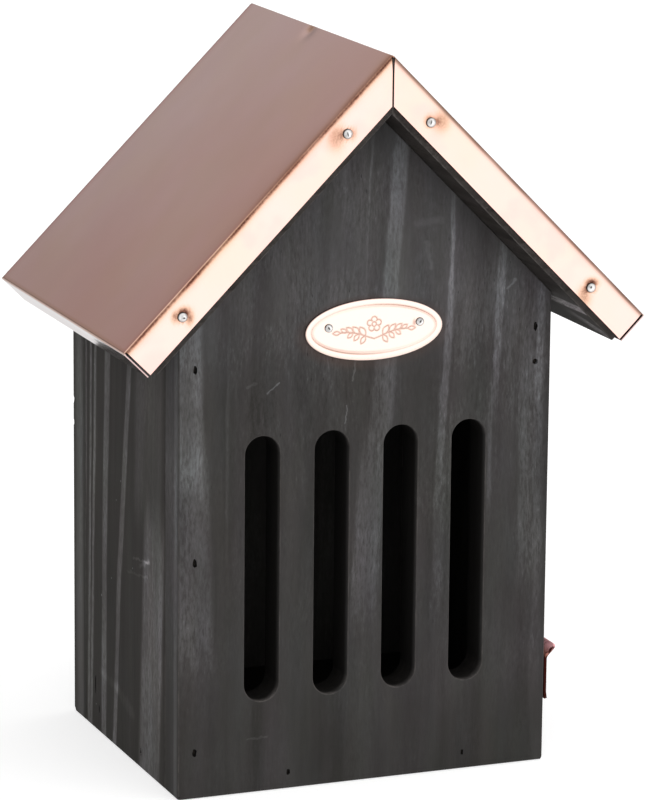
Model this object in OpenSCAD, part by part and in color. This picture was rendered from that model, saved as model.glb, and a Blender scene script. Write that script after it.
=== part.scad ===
// Butterfly house: a small gabled box of stained boards with four tall slots in the front,
// a side door that swings on two nails, a turn button, and a folded copper roof.
// Millimetres, +Z up, front towards -Y, door on the +X side, origin under the roof's middle.

/* [Walls] */
// Width across the outer faces of the side walls
house_w = 130; // [120:1:180]
// Depth from the front panel's face to the back panel's face
wall_depth = 107; // [80:1:160]
// Height of a side wall at its outer face, up to the underside of the roof
side_h = 160.5; // [150:0.5:220]
// Thickness of the front panel
front_t = 13; // [9:0.5:18]
// Thickness of the back panel
back_t = 13; // [9:0.5:18]
// Thickness of the left side panel, the door and the rail above the door
side_t = 13; // [11:0.5:18]
// Thickness of the floor board
floor_t = 13; // [9:0.5:18]

/* [Slots] */
// Number of slots in the front panel
slot_n = 4; // [1:1:4]
// Width of a slot
slot_w = 12; // [8:0.5:16]
// Height of a slot over its round ends
slot_h = 89; // [40:1:100]
// Distance between neighbouring slots, middle to middle
slot_pitch = 24.1; // [20:0.1:26]
// Height of the slots' lower ends above the ground
slot_z = 30.8; // [25:0.1:45]

/* [Roof] */
// Pitch of the roof in degrees
pitch = 45; // [35:1:50]
// Reach of the eaves beyond the side walls, measured level
eave_over = 25; // [18:0.5:35]
// Thickness of the roof boards
roof_t = 13; // [9:0.5:18]
// Reach of the roof boards in front of the front panel
front_over = 18; // [10:0.5:30]
// Reach of the roof boards behind the back panel
back_over = 1; // [0:0.5:5]
// Thickness of the copper sheet
sheet_t = 0.4; // [0.3:0.1:1]
// Room between the sheet and the boards under it
sheet_fit = 0.1; // [0.05:0.05:0.3]
// Width of the flanges that are folded down all round the sheet
flange_w = 11.4; // [9:0.1:14]
// Gap between an eave flange and the end of its board
eave_gap = 2; // [0.5:0.1:4]
// Open seam between two flanges where they meet at the ridge
ridge_seam = 0.5; // [0.2:0.1:1.5]
// Open corner between a flange and the eave flange
corner_gap = 0.8; // [0.3:0.1:2]

/* [Door] */
// Height of the rail above the door, at its outer face
rail_h = 16.7; // [14:0.1:40]
// Gap under the door, which keeps it off the ground
door_lift = 1; // [0.5:0.1:2]
// Gap between the door and the rail, and between the door and the panels
door_gap = 0.8; // [0.4:0.1:1.5]
// Gap between the closed door and the end of the floor board
door_seat = 0.2; // [0.1:0.1:1]
// Distance of the pivot nails from the door's outer face and from its top
pivot_inset = 5.5; // [4:0.5:6]
// Diameter of the pivot nails
pivot_d = 1.8; // [1.4:0.1:2.4]
// Length of the pivot nails
pivot_l = 27; // [22:1:35]
// Running clearance round a pivot nail in the door
pivot_fit = 0.05; // [0.02:0.01:0.1]

/* [Turn button] */
// Width of the button
button_w = 12; // [8:0.5:12.5]
// Height of the button's flat plate
button_h = 15; // [12:0.5:20]
// Thickness of the button's sheet
button_t = 1; // [0.6:0.1:1.5]
// Length of the thumb lip
lip_l = 5.4; // [3:0.1:8]
// Angle of the thumb lip away from the wall
lip_angle = 45; // [20:5:60]
// Length of the small heel at the lower end
heel_l = 2.4; // [1:0.1:3]
// Angle of the heel away from the wall
heel_angle = 8; // [2:1:15]
// Height of the button's screw above the ground
button_z = 25.5; // [20:0.5:60]
// Distance of the screw above the lower end of the plate
button_foot = 4.6; // [4:0.1:6]
// Gap between the button and the wall
button_gap = 0.3; // [0.1:0.1:0.6]
// Diameter of the screw's shank
button_screw_d = 2.4; // [1.8:0.1:3]
// Length of the screw in the wood
button_screw_l = 14; // [8:1:20]
// Diameter of the screw's head
button_head_d = 5.2; // [4:0.1:7]
// Height of the screw's head
button_head_h = 1.7; // [1:0.1:2.5]
// Running clearance round the screw in the button
button_fit = 0.08; // [0.02:0.01:0.1]
// Gap under the screw's head
button_play = 0.15; // [0.1:0.05:0.3]

/* [Plaque] */
// Width of the oval plaque
plaque_w = 48; // [40:1:60]
// Height of the oval plaque
plaque_h = 21; // [16:1:28]
// Thickness of the plaque
plaque_t = 0.8; // [0.5:0.1:1.5]
// Distance of the plaque's middle below the top of the front panel
plaque_drop = 73; // [66:0.5:76]
// Distance of the plaque's middle to the right of the ridge line
plaque_x = 1.9; // [-5:0.1:5]
// Distance of the border line from the plaque's edge
border_inset = 2.6; // [1.5:0.1:3.5]
// Width of the border line
border_w = 0.6; // [0.3:0.1:1]
// Depth of the border line
border_deep = 0.25; // [0.1:0.05:0.4]
// Distance of each plaque nail from the plaque's middle, sideways
plaque_nail_x = 15.9; // [12:0.1:16.5]
// Distance of the plaque nails above the plaque's middle
plaque_nail_up = 1.5; // [-2:0.1:2]
// Diameter of a plaque nail's head
plaque_head_d = 2.8; // [2:0.1:3.5]
// Height of a plaque nail's head
plaque_head_h = 0.9; // [0.5:0.1:1.5]
// Diameter of a plaque nail's shank
plaque_shank_d = 1.2; // [0.8:0.1:1.6]
// Length of a plaque nail's shank
plaque_shank_l = 9; // [5:0.5:9.5]

/* [Flange nails] */
// Diameter of a flange nail's head
nail_head_d = 3.2; // [2.4:0.1:4.5]
// Height of a flange nail's head
nail_head_h = 1.2; // [0.6:0.1:2]
// Diameter of a flange nail's shank
nail_shank_d = 1.5; // [1:0.1:2]
// Length of a flange nail's shank
nail_shank_l = 15; // [8:0.5:17]
// Depth of the flange nails below the roof's outer face
nail_deep = 6.4; // [4:0.1:7]
// Distance of the upper nail on the left slope from the ridge
nail_top_left = 28; // [20:0.5:33]
// Distance of the upper nail on the right slope from the ridge
nail_top_right = 25; // [20:0.5:33]
// Distance of the lower nails from the eave
nail_eave = 21.3; // [10:0.1:30]

/* [Brads] */
// Thickness of a brad, across the grain
brad_t = 0.9; // [0.7:0.1:1.2]
// Width of a brad's shank, along the grain
brad_w = 1.2; // [0.9:0.1:1.5]
// Width of a brad's head, along the grain
brad_head_w = 1.9; // [1.6:0.1:2.6]
// Height of a brad's head
brad_head_h = 0.8; // [0.5:0.1:1.2]
// Depth of a brad's head below the face of the wood
brad_sink = 0.9; // [0.3:0.1:1.5]
// Length of a brad with its head
brad_l = 27; // [20:1:30]
// Distance of the side brads from the outer face of the side wall
brad_inset = 5.6; // [4:0.1:6.5]
// Height of the lowest side brads above the ground
brad_low = 15.6; // [14:0.1:30]
// Distance of the highest side brads below the roof's underside
brad_high = 17; // [10:0.5:30]
// Height of the floor brads above the ground
floor_brad_z = 5.6; // [3:0.1:7]
// Distance of the left floor brads from the house's middle
floor_brad_left = 26.6; // [15:0.1:32]
// Distance of the right floor brads from the house's middle
floor_brad_right = 35.6; // [15:0.1:45]
// Distance of the side floor brad behind the front panel's face
side_brad_y = 36.8; // [30:0.1:45]
// Distance of the rail's brads above the rail's lower edge
rail_brad_up = 5.6; // [4:0.1:8]
// Distance of the upper roof brads from the ridge
roof_brad_top = 37; // [36:1:44]
// Distance of the lower roof brads from the eave
roof_brad_eave = 48; // [45:1:60]

/* [Hanger] */
// Width of the hanger plate
hanger_w = 42; // [38:1:50]
// Height of the hanger plate
hanger_h = 18; // [16:0.5:24]
// Thickness of the hanger plate
hanger_t = 1.2; // [0.8:0.1:1.5]
// Distance of the keyhole's round hole below the top of the back panel
hanger_drop = 42; // [35:1:70]
// Diameter of the keyhole's round hole, which passes the wall screw's head
keyhole_d = 8; // [6:0.5:9]
// Width of the keyhole's slot, which seats on the wall screw's shank
keyhole_slot_w = 4.5; // [3:0.1:5]
// Reach of the slot above the middle of the round hole
keyhole_rise = 6; // [5:0.5:6.5]
// Room round the wall screw's head in the wood behind the plate
pocket_room = 1.5; // [1:0.1:2]
// Depth of the pocket in the wood behind the plate
pocket_deep = 7; // [4:0.5:8]
// Distance of each hanger screw from the keyhole, sideways
hanger_screw_x = 15; // [13:0.5:17]
// Diameter of a hanger screw's shank
hanger_screw_d = 2.4; // [1.8:0.1:3]
// Length of a hanger screw in the wood
hanger_screw_l = 9; // [6:0.5:9.5]
// Diameter of a hanger screw's head
hanger_head_d = 5; // [4:0.1:6]
// Height of a hanger screw's head
hanger_head_h = 1.2; // [0.8:0.1:1.4]

/* [Fits] */
// Clearance round a nail or screw in its hole
nail_fit = 0.05; // [0.02:0.01:0.1]

/* [Hidden] */

WOOD = "#454341";
COPPER = "#c58f78";
STEEL = "#b9bcc0";
ROUND = 64;
// Small reach of a cutter past the face that it cuts
CUT = 0.2;

half_w = house_w / 2;
roof_depth = front_over + wall_depth + back_over;
front_end = -roof_depth / 2;
back_end = roof_depth / 2;
front_y = front_end + front_over;
back_y = back_end - back_over;
inner_front = front_y + front_t;
inner_back = back_y - back_t;
apex_z = side_h + half_w * tan(pitch);
skin = sheet_t + sheet_fit;
board_under = skin + roof_t;
ridge_z = apex_z + board_under / cos(pitch);
slope_l = (half_w + eave_over) / cos(pitch);
board_l = slope_l - sheet_t - eave_gap;
rail_z = side_h - rail_h;
door_top = rail_z - door_gap;
pivot_x = half_w - pivot_inset;
pivot_z = door_top - pivot_inset;
plaque_z = apex_z - plaque_drop;
hanger_z = apex_z - hanger_drop;
hanger_mid = hanger_z + keyhole_rise / 2;
button_y = front_y + front_t / 2;
button_x = half_w + button_gap;

// Point on the right slope: s runs down from the ridge, d goes in from the outer face
function slope_pt(s, d) = [s * cos(pitch) - d * sin(pitch), ridge_z - s * sin(pitch) - d * cos(pitch)];
function flip(p) = [-p[0], p[1]];
// Where a layer at depth d meets the upright plane x
function mitre_s(d, x) = (x + d * sin(pitch)) / cos(pitch);
function oval(w, h) = [for (a = [0:5:355]) [w / 2 * cos(a), h / 2 * sin(a)]];

// Extrudes an outline drawn in X and Z from y0 to y1
module slab(y0, y1) {
    translate([0, y1, 0]) rotate([90, 0, 0]) linear_extrude(y1 - y0) children();
}

module both_sides() {
    children();
    mirror([1, 0, 0]) children();
}

// Puts its children on a slope: X down the slope, Z out of the roof
module on_slope(side) {
    mirror([side < 0 ? 1 : 0, 0, 0]) translate([0, 0, ridge_z]) rotate([0, pitch, 0]) children();
}

// A brad driven along +Y through a face at y = 0, with its width along Z
module brad() {
    translate([-brad_t / 2, brad_sink, -brad_head_w / 2]) cube([brad_t, brad_head_h, brad_head_w]);
    translate([-brad_t / 2, brad_sink, -brad_w / 2]) cube([brad_t, brad_l, brad_w]);
}

module brad_hole() {
    brad();
    translate([-brad_t / 2, -CUT, -brad_head_w / 2]) cube([brad_t, brad_sink + CUT, brad_head_w]);
}

// A shank along +Y from y = 0, and the hole that it is driven into
module shank(d, l) {
    rotate([-90, 0, 0]) cylinder(d = d, h = l, $fn = ROUND);
}

module shank_hole(d, l) {
    translate([0, -CUT, 0]) shank(d + 2 * nail_fit, l + CUT);
}

// A low round head on the side y < 0 of a face at y = 0
module round_head(d, h) {
    ball_r = (d * d / 4 + h * h) / (2 * h);
    intersection() {
        translate([0, ball_r - h, 0]) sphere(r = ball_r, $fn = ROUND);
        translate([0, -h - CUT, 0]) shank(d, h + CUT);
    }
}

module gable() {
    polygon([[-half_w, 0], [half_w, 0], [half_w, side_h], [0, apex_z], [-half_w, side_h]]);
}

module slot_outline() {
    reach = slot_h - slot_w;
    translate([0, slot_w / 2]) circle(d = slot_w, $fn = ROUND);
    translate([0, slot_w / 2 + reach]) circle(d = slot_w, $fn = ROUND);
    translate([-slot_w / 2, slot_w / 2]) square([slot_w, reach]);
}

// Children at each brad of the front panel, which face +Y
module at_gable_brads() {
    for (i = [0:2])
        translate([-half_w + brad_inset, front_y, brad_low + i * (side_h - brad_high - brad_low) / 2])
            children();
    translate([half_w - brad_inset, front_y, rail_z + rail_brad_up]) children();
    translate([-floor_brad_left, front_y, floor_brad_z]) children();
    translate([floor_brad_right, front_y, floor_brad_z]) children();
}

// The same children turned to the back panel, which face -Y
module at_back_brads() {
    translate([0, front_y + back_y, 0]) mirror([0, 1, 0]) at_gable_brads() children();
}

module at_side_brads() {
    translate([-half_w, front_y + side_brad_y, floor_brad_z]) rotate([0, 0, -90]) children();
}

module at_roof_brads() {
    for (side = [-1, 1], s = [roof_brad_top, slope_l - roof_brad_eave])
        for (y = [front_y + front_t / 2, back_y - back_t / 2])
            on_slope(side) translate([s, y, -skin]) rotate([-90, 0, 0]) children();
}

module at_pivots() {
    translate([pivot_x, front_y, pivot_z]) children();
    translate([pivot_x, back_y, pivot_z]) mirror([0, 1, 0]) children();
}

module at_flange_nails() {
    for (side = [-1, 1]) {
        top_s = side < 0 ? nail_top_left : nail_top_right;
        for (s = [top_s, slope_l - nail_eave]) on_slope(side) translate([s, 0, -nail_deep]) {
            translate([0, front_end - skin, 0]) children();
            translate([0, back_end + skin, 0]) mirror([0, 1, 0]) children();
        }
    }
}

module at_plaque_nails() {
    for (side = [-1, 1])
        translate([plaque_x + side * plaque_nail_x, front_y - plaque_t, plaque_z + plaque_nail_up])
            children();
}

module at_hanger_screws() {
    for (side = [-1, 1])
        translate([side * hanger_screw_x, back_y + hanger_t, hanger_mid]) mirror([0, 1, 0]) children();
}

module at_button_screw() {
    translate([button_x + button_t + button_play, button_y, button_z]) rotate([0, 0, 90]) children();
}

// The keyhole: round below, with a slot above, grown by the given room
module keyhole(room) {
    circle(d = keyhole_d + 2 * room, $fn = ROUND);
    translate([0, keyhole_rise]) circle(d = keyhole_slot_w + 2 * room, $fn = ROUND);
    translate([-keyhole_slot_w / 2 - room, 0]) square([keyhole_slot_w + 2 * room, keyhole_rise]);
}

module pivot_hole(l) {
    shank_hole(pivot_d, l);
}

module front_panel() {
    slots_w = (slot_n - 1) * slot_pitch;
    color(WOOD) difference() {
        slab(front_y, inner_front) difference() {
            gable();
            for (i = [0:slot_n - 1])
                translate([i * slot_pitch - slots_w / 2, slot_z]) slot_outline();
        }
        at_gable_brads() brad_hole();
        at_roof_brads() brad_hole();
        at_plaque_nails() shank_hole(plaque_shank_d, plaque_shank_l);
        translate([pivot_x, front_y, pivot_z]) pivot_hole(front_t + CUT);
        at_button_screw() shank_hole(button_screw_d, button_screw_l + button_gap + button_t + button_play);
    }
}

module back_panel() {
    color(WOOD) difference() {
        slab(inner_back, back_y) gable();
        slab(back_y - pocket_deep, back_y + CUT)
            translate([0, hanger_z]) pocket();
        at_back_brads() brad_hole();
        at_roof_brads() brad_hole();
        at_hanger_screws() shank_hole(hanger_screw_d, hanger_screw_l + hanger_t);
        translate([pivot_x, back_y, pivot_z]) mirror([0, 1, 0]) pivot_hole(back_t + CUT);
    }
}

// Room behind the keyhole in which the wall screw's head slides up
module pocket() {
    room = pocket_room + (keyhole_d - keyhole_slot_w) / 2;
    circle(d = keyhole_d + 2 * pocket_room, $fn = ROUND);
    translate([0, keyhole_rise]) circle(d = keyhole_slot_w + 2 * room, $fn = ROUND);
    translate([-keyhole_slot_w / 2 - room, 0]) square([keyhole_slot_w + 2 * room, keyhole_rise]);
}

module left_side_panel() {
    color(WOOD) difference() {
        slab(inner_front, inner_back) polygon([
            [-half_w, 0], [-half_w + side_t, 0],
            [-half_w + side_t, side_h + side_t * tan(pitch)], [-half_w, side_h]
        ]);
        at_gable_brads() brad_hole();
        at_back_brads() brad_hole();
        at_side_brads() brad_hole();
    }
}

module side_rail() {
    color(WOOD) difference() {
        slab(inner_front, inner_back) polygon([
            [half_w - side_t, rail_z], [half_w, rail_z],
            [half_w, side_h], [half_w - side_t, side_h + side_t * tan(pitch)]
        ]);
        at_gable_brads() brad_hole();
        at_back_brads() brad_hole();
    }
}

module floor_board() {
    color(WOOD) difference() {
        translate([-half_w + side_t, inner_front, 0])
            cube([house_w - 2 * side_t - door_seat, inner_back - inner_front, floor_t]);
        at_gable_brads() brad_hole();
        at_back_brads() brad_hole();
        at_side_brads() brad_hole();
    }
}

// The door's outer top edge is round about the pivot, so that it turns under the rail
module side_door() {
    color(WOOD) difference() {
        slab(inner_front + door_gap, inner_back - door_gap) {
            translate([half_w - side_t, door_lift]) square([side_t, pivot_z - door_lift]);
            translate([half_w - side_t, pivot_z - CUT])
                square([side_t - pivot_inset, pivot_inset + CUT]);
            translate([pivot_x, pivot_z]) circle(r = pivot_inset, $fn = ROUND);
        }
        at_pivots() shank(pivot_d + 2 * pivot_fit, pivot_l + brad_sink + door_gap);
    }
}

module roof_board() {
    color(WOOD) difference() {
        slab(front_end, back_end) polygon([
            slope_pt(mitre_s(skin, 0), skin), slope_pt(board_l, skin),
            slope_pt(board_l, board_under), slope_pt(mitre_s(board_under, 0), board_under)
        ]);
        children();
    }
}

module left_roof_board() {
    color(WOOD) difference() {
        mirror([1, 0, 0]) roof_board();
        roof_board_holes();
    }
}

module right_roof_board() {
    color(WOOD) difference() {
        roof_board();
        roof_board_holes();
    }
}

module roof_board_holes() {
    at_roof_brads() brad_hole();
    at_flange_nails() shank_hole(nail_shank_d, nail_shank_l);
}

// Both slopes between two depths, from the ridge line down to s
module roof_outline(s, d0, d1) {
    polygon([
        [0, ridge_z - d0 / cos(pitch)], slope_pt(s, d0), slope_pt(s, d1),
        [0, ridge_z - d1 / cos(pitch)], flip(slope_pt(s, d1)), flip(slope_pt(s, d0))
    ]);
}

// Opens the corner between an end flange and the eave flange
module corner_cut() {
    eave_in = slope_l - sheet_t;
    slab(front_end - skin - CUT, back_end + skin + CUT) polygon([
        slope_pt(eave_in - corner_gap, sheet_t), slope_pt(eave_in, sheet_t),
        slope_pt(eave_in, flange_w + CUT), slope_pt(eave_in - corner_gap, flange_w + CUT)
    ]);
}

module copper_roof() {
    seam_top = ridge_z - sheet_t / cos(pitch) - ridge_seam / 2 * tan(pitch);
    seam_h = (flange_w + CUT) / cos(pitch);
    color(COPPER) difference() {
        slab(front_end - skin, back_end + skin) roof_outline(slope_l, 0, flange_w);
        slab(front_end - sheet_fit, back_end + sheet_fit)
            roof_outline(slope_l - sheet_t, sheet_t, flange_w + CUT);
        both_sides() corner_cut();
        translate([-ridge_seam / 2, front_end - skin - CUT, seam_top - seam_h])
            cube([ridge_seam, roof_depth + 2 * skin + 2 * CUT, seam_h]);
        at_flange_nails() shank_hole(nail_shank_d, sheet_t + CUT);
    }
}

module flange_nails() {
    color(STEEL) at_flange_nails() {
        shank(nail_shank_d, nail_shank_l);
        round_head(nail_head_d, nail_head_h);
    }
}

module plaque() {
    line_w = plaque_w - 2 * border_inset;
    line_h = plaque_h - 2 * border_inset;
    color(COPPER) difference() {
        translate([plaque_x, 0, plaque_z]) difference() {
            slab(front_y - plaque_t, front_y) polygon(oval(plaque_w, plaque_h));
            slab(front_y - plaque_t - CUT, front_y - plaque_t + border_deep) difference() {
                polygon(oval(line_w, line_h));
                polygon(oval(line_w - 2 * border_w, line_h - 2 * border_w));
            }
        }
        at_plaque_nails() shank_hole(plaque_shank_d, plaque_t + CUT);
    }
}

module plaque_nails() {
    color(STEEL) at_plaque_nails() {
        shank(plaque_shank_d, plaque_shank_l);
        round_head(plaque_head_d, plaque_head_h);
    }
}

module front_brads() {
    color(STEEL) at_gable_brads() brad();
}

module back_brads() {
    color(STEEL) at_back_brads() brad();
}

module side_brads() {
    color(STEEL) at_side_brads() brad();
}

module roof_brads() {
    color(STEEL) at_roof_brads() brad();
}

module door_pivot_nails() {
    color(STEEL) at_pivots() translate([0, brad_sink, 0]) shank(pivot_d, pivot_l);
}

// A bent strip: heel, flat plate and thumb lip, with a round hole for the screw
module turn_button() {
    foot_z = button_z - button_foot;
    heel_z = foot_z + heel_l * cos(heel_angle);
    bend_z = foot_z + button_h;
    heel_out = heel_l * sin(heel_angle);
    lip_tip = [button_x + lip_l * sin(lip_angle), bend_z + lip_l * cos(lip_angle)];
    lip_in = button_t * tan(lip_angle / 2);
    heel_in = button_t * tan(heel_angle / 2);
    color(COPPER) difference() {
        slab(button_y - button_w / 2, button_y + button_w / 2) polygon([
            [button_x + heel_out, foot_z], [button_x, heel_z], [button_x, bend_z], lip_tip,
            lip_tip + button_t * [cos(lip_angle), -sin(lip_angle)],
            [button_x + button_t, bend_z - lip_in], [button_x + button_t, heel_z + heel_in],
            [button_x + heel_out + button_t * cos(heel_angle), foot_z + button_t * sin(heel_angle)]
        ]);
        at_button_screw() translate([0, -CUT, 0])
            shank(button_screw_d + 2 * button_fit, button_play + button_t + 2 * CUT);
    }
}

module button_screw() {
    color(STEEL) at_button_screw() {
        shank(button_screw_d, button_play + button_t + button_gap + button_screw_l);
        difference() {
            round_head(button_head_d, button_head_h);
            translate([-button_head_d, -button_head_h - CUT, -button_head_h / 5])
                cube([2 * button_head_d, button_head_h / 2 + CUT, 2 * button_head_h / 5]);
        }
    }
}

module hanger_plate() {
    straight = hanger_w - hanger_h;
    color(STEEL) difference() {
        slab(back_y, back_y + hanger_t) difference() {
            translate([0, hanger_mid]) {
                translate([-straight / 2, -hanger_h / 2]) square([straight, hanger_h]);
                for (side = [-1, 1]) translate([side * straight / 2, 0])
                    circle(d = hanger_h, $fn = ROUND);
            }
            translate([0, hanger_z]) keyhole(0);
        }
        at_hanger_screws() shank_hole(hanger_screw_d, hanger_t + CUT);
    }
}

module hanger_screws() {
    color(STEEL) at_hanger_screws() {
        shank(hanger_screw_d, hanger_t + hanger_screw_l);
        round_head(hanger_head_d, hanger_head_h);
    }
}

front_panel();
back_panel();
left_side_panel();
floor_board();
side_rail();
side_door();
left_roof_board();
right_roof_board();
copper_roof();
flange_nails();
plaque();
plaque_nails();
front_brads();
back_brads();
side_brads();
roof_brads();
door_pivot_nails();
turn_button();
button_screw();
hanger_plate();
hanger_screws();
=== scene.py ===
from math import acos, cos, exp, hypot, pi, radians, sin, sqrt

import bmesh
import bpy
import numpy as np
from mathutils import Matrix, Vector, noise


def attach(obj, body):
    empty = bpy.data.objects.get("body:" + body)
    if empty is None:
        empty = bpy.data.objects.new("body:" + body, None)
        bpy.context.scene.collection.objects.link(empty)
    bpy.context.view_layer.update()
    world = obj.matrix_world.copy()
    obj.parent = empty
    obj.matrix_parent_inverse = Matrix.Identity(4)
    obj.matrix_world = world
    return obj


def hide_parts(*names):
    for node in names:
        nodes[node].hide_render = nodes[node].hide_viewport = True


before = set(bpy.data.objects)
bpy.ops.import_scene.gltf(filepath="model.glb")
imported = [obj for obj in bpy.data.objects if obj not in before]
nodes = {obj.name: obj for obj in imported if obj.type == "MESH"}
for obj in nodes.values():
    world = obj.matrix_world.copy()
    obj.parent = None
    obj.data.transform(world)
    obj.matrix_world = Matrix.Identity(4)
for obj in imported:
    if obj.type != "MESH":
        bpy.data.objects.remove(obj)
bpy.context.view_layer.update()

MM = 0.001
COS45 = sqrt(0.5)

# Lengths of the part, in millimetres
RIDGE_Z = 244.592
APEX_Z = 225.5
SLOPE_L = 127.279
ROOF_Y = 63.5
FLANGE_W = 11.4
SHEET_T = 0.4
FRONT_Y = -45.0
BACK_Y = 62.0
HALF_W = 65.0
BOARD_T = 13.0
NAIL_DEEP = 6.4
PLAQUE_X, PLAQUE_T = 1.9, 0.8
PLAQUE_NAIL_X, PLAQUE_NAIL_Z = 15.9, 154.0
HANGER_SCREW_X, HANGER_SCREW_Z, HANGER_FACE_Y = 15.0, 186.5, 63.2
# The flange nails' places down the slopes from the ridge, by side and row
NAIL_S = {(-1, 0): 28.0, (1, 0): 25.0, (-1, 1): 105.979, (1, 1): 105.979}

# The sheet's outer bends, their steps, half the seam at the ridge and the notch at the eave corners
FOLD_R = 0.7
FOLD_STEP = radians(22.5)
SEAM = 0.62
CORNER_GAP = 0.8
# Painted shade and reflections round the nails, on the copper: place to the right and up, half width, half
# height, strength
NAIL_SHADE_AND_REFLECTIONS = {
    (-1, 0): [(-3.9, -0.8, 3.2, 4.4, 0.48), (-2.2, -0.2, 1.8, 2.4, 0.64), (1.6, -0.2, 1.4, 1.9, 0.52)],
    (1, 0): [(3.5, 0.2, 3.1, 3.5, 0.47), (2.2, 0.2, 1.6, 1.9, 0.68), (-0.4, 0.6, 1.8, 1.8, 0.74)],
    (-1, 1): [(0.4, 1.3, 2.5, 1.8, 0.97), (2.4, -0.4, 1.4, 2.3, 0.68), (-2.3, 0.4, 1.5, 2.0, 0.64)],
    (1, 1): [(0.1, 1.5, 2.3, 1.6, 0.96), (-1.4, -0.2, 1.4, 2.0, 0.86), (-2.5, -2.9, 2.6, 3.6, 0.48),
             (-2.2, -1.2, 1.8, 2.3, 0.62)],
}
# The hammered mark on each nail, a dent with a dark reflection painted in it: place to the right and up, half
# width, half height
NAIL_MARKS = [(-0.34, 0.05, 0.25, 0.85), (0.20, -0.15, 0.50, 0.32), (-0.34, 0.05, 0.25, 0.80),
              (-0.50, 0.10, 0.34, 0.50)]

# How far a pale streak in the wood takes to fade at its end, and where a board's narrow edge begins
STREAK_FADE = 13.0
EDGE_FACE = (64.3, 64.8)


# ---------------------------------------------------------------- node trees

class Tree:
    """A node tree with short calls: each returns the socket that it makes."""

    def __init__(self, owner):
        owner.use_nodes = True
        self.owner, self.tree = owner, owner.node_tree
        self.tree.nodes.clear()

    def node(self, kind, *values, **props):
        """Makes a node. The values go into its first sockets."""
        made = self.tree.nodes.new(kind)
        for key, value in props.items():
            setattr(made, key, value)
        for socket, value in zip(made.inputs, values):
            self.plug(socket, value)
        return made

    def filled(self, kind, **values):
        """The outputs of a node with values in its sockets, whose names have _ for spaces."""
        made = self.node(kind)
        for key, value in values.items():
            self.plug(made.inputs[key.replace("_", " ")], value)
        return made.outputs

    def plug(self, socket, value):
        if isinstance(value, bpy.types.NodeSocket):
            self.tree.links.new(value, socket)
        elif value is not None:
            socket.default_value = value

    def math(self, op, a, b=None, c=None, clamp=False):
        return self.node("ShaderNodeMath", a, b, c, operation=op, use_clamp=clamp).outputs[0]

    def add(self, a, b):
        return self.math("ADD", a, b)

    def sub(self, a, b):
        return self.math("SUBTRACT", a, b)

    def mul(self, a, b):
        return self.math("MULTIPLY", a, b)

    def madd(self, a, b, c, clamp=False):
        """a times b, plus c."""
        return self.math("MULTIPLY_ADD", a, b, c, clamp)

    def abs(self, a):
        return self.math("ABSOLUTE", a)

    def vary(self, base, noise, amount, clamp=False):
        """base, moved up and down by a noise."""
        return self.madd(self.sub(noise, 0.5), amount, base, clamp)

    def vmath(self, op, a, b=None, scale=None):
        n = self.node("ShaderNodeVectorMath", a, b, operation=op)
        if scale is not None:
            self.plug(n.inputs["Scale"], scale)
        return n.outputs["Value"] if op in ("LENGTH", "DISTANCE", "DOT_PRODUCT") else n.outputs[0]

    def split(self, v):
        return list(self.node("ShaderNodeSeparateXYZ", v).outputs)

    def join(self, x, y, z):
        return self.node("ShaderNodeCombineXYZ", x, y, z).outputs[0]

    def stretch(self, v, scale):
        """v times one factor, or a factor for each axis."""
        return self.vmath("MULTIPLY", v, scale if isinstance(scale, tuple) else (scale,) * 3)

    def noise(self, v, scale, detail=2.0, rough=0.5, colour=False):
        v = self.stretch(v, scale)
        made = self.filled("ShaderNodeTexNoise", Vector=v, Scale=1.0, Detail=detail, Roughness=rough)
        return made["Color" if colour else "Fac"]

    def cells(self, v, scale):
        """Distance to the nearest scattered point, and that point's random colour."""
        made = self.filled("ShaderNodeTexVoronoi", Vector=self.stretch(v, scale), Scale=1.0)
        return made["Distance"], made["Color"]

    def ramp(self, fac, stops):
        n = self.node("ShaderNodeValToRGB", fac)
        elements = n.color_ramp.elements
        while len(elements) < len(stops):
            elements.new(0.5)
        for element, (place, colour) in zip(elements, stops):
            element.position = place
            element.color = (*(colour if isinstance(colour, tuple) else (colour,) * 3), 1.0)
        return n.outputs[0]

    def step(self, x, lo, hi, a=0.0, b=1.0):
        """Goes smoothly from a to b while x goes from lo to hi."""
        kind = "ShaderNodeMapRange"
        return self.node(kind, x, lo, hi, a, b, interpolation_type="SMOOTHSTEP").outputs[0]

    def mix(self, fac, a, b, blend="MIX"):
        n = self.node("ShaderNodeMix", fac, data_type="RGBA", blend_type=blend)
        for socket, value in ((n.inputs[6], a), (n.inputs[7], b)):
            self.plug(socket, (*value, 1.0) if isinstance(value, tuple) else value)
        return n.outputs[2]

    def attribute(self, name):
        return self.node("ShaderNodeAttribute", attribute_name=name).outputs["Fac"]

    def place(self, scale=1000.0):
        """Place on the object in millimetres."""
        coords = self.node("ShaderNodeTexCoord").outputs["Object"]
        return self.vmath("SCALE", coords, scale=scale)

    def bump(self, height, distance, strength):
        return self.filled("ShaderNodeBump", Strength=strength, Distance=distance, Height=height)[0]

    def emission(self, strength, colour=(1.0, 1.0, 1.0)):
        return self.filled("ShaderNodeEmission", Color=(*colour, 1.0), Strength=strength)[0]

    def surface(self, shader):
        """Ends the tree, and returns its material."""
        self.filled("ShaderNodeOutputMaterial", Surface=shader)
        return self.owner

    def principled(self, **values):
        return self.surface(self.filled("ShaderNodeBsdfPrincipled", **values)[0])


def material_tree(name):
    return Tree(bpy.data.materials.new(name))


# ---------------------------------------------------------------- materials

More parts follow.
